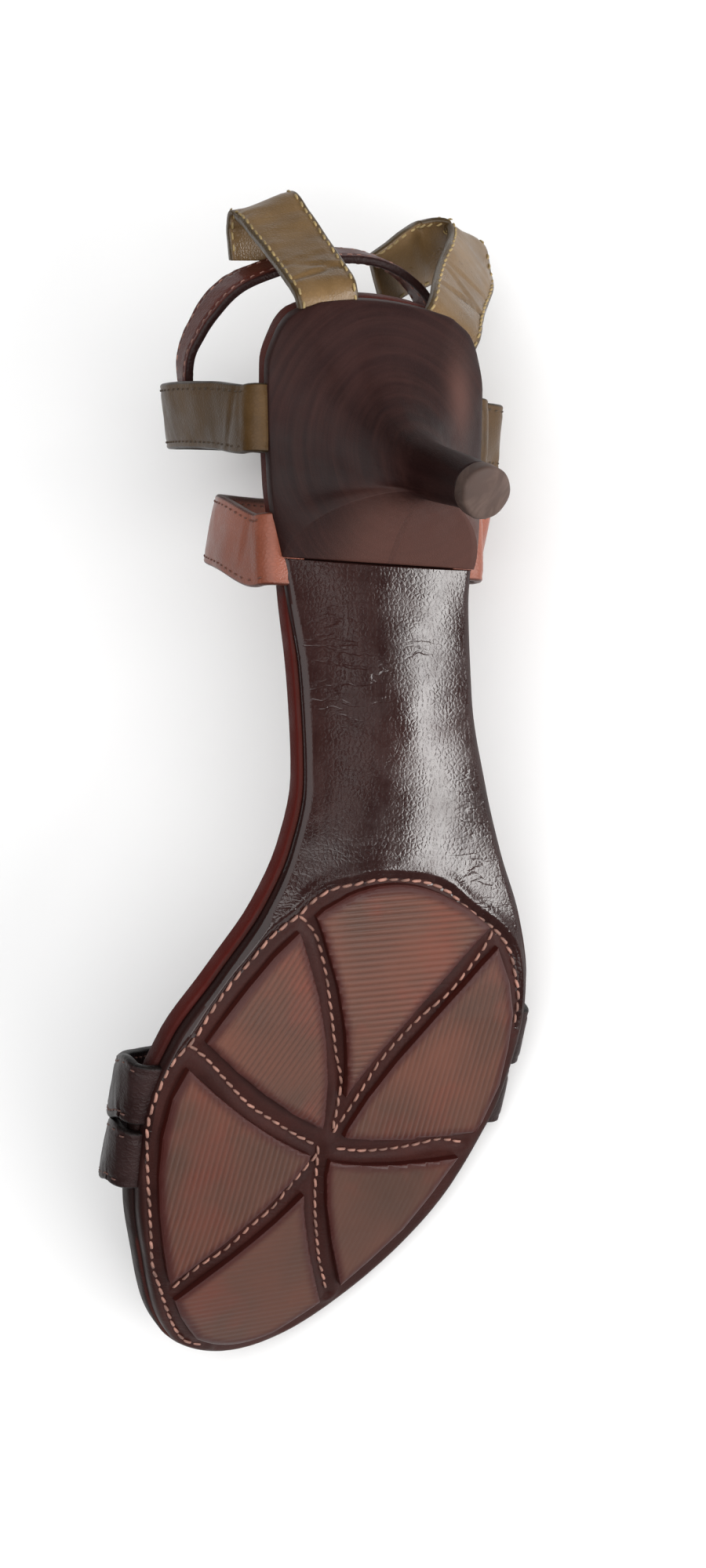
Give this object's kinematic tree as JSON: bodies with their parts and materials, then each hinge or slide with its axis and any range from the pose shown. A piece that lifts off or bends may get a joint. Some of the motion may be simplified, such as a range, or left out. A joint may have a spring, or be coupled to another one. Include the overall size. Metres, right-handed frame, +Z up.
{
  "type": "strappy sandal",
  "caption": "Kitten heel strappy sandal with ribbed sole pads, toe, instep and side straps, and rear loops holding a buckled ankle strap.",
  "frame": {"origin": "centre of the bounding box at the floor it lies on", "axes": "+Z up from the floor, +X along its longest extent from toe end to heel end, +Y from the sole edge on the floor to the ankle side"},
  "size_m": [0.2544, 0.137, 0.0952],
  "materials": {
    "footbed": "dark red-brown, satin",
    "sole_cover": "dark brown, polished",
    "heel_block": "dark brown, satin, faint streaks",
    "top_lift": "grey-brown, matt, scuffed",
    "tread_pad_1": "brown, ribbed, satin",
    "tread_pad_2": "brown, ribbed, satin",
    "tread_pad_3": "brown, ribbed, satin",
    "tread_pad_4": "brown, ribbed, satin",
    "tread_pad_5": "brown, ribbed, satin",
    "tread_pad_6": "brown, ribbed, satin",
    "toe_strap_back": "dark brown, satin",
    "toe_strap_front": "dark brown, satin",
    "instep_strap": "copper tan, soft sheen, stitched edges",
    "side_strap": "olive, soft sheen, stitched edges",
    "rear_loop_medial": "olive, soft sheen, stitched edges",
    "rear_loop_lateral": "olive, soft sheen, stitched edges",
    "ankle_strap": "red-brown, satin",
    "buckle_frame": "antique, brushed",
    "buckle_prong": "antique, brushed",
    "strap_keeper": "red-brown, satin"
  },
  "bodies": {
    "root": {"footbed": "footbed", "sole_cover": "sole_cover", "heel_block": "heel_block", "top_lift": "top_lift", "tread_pad_1": "tread_pad_1", "tread_pad_2": "tread_pad_2", "tread_pad_3": "tread_pad_3", "tread_pad_4": "tread_pad_4", "tread_pad_5": "tread_pad_5", "tread_pad_6": "tread_pad_6", "toe_strap_back": "toe_strap_back", "toe_strap_front": "toe_strap_front", "instep_strap": "instep_strap", "side_strap": "side_strap", "rear_loop_medial": "rear_loop_medial", "rear_loop_lateral": "rear_loop_lateral", "ankle_strap": "ankle_strap", "buckle_frame": "buckle_frame", "buckle_prong": "buckle_prong", "strap_keeper": "strap_keeper"}
  },
  "joints": []
}
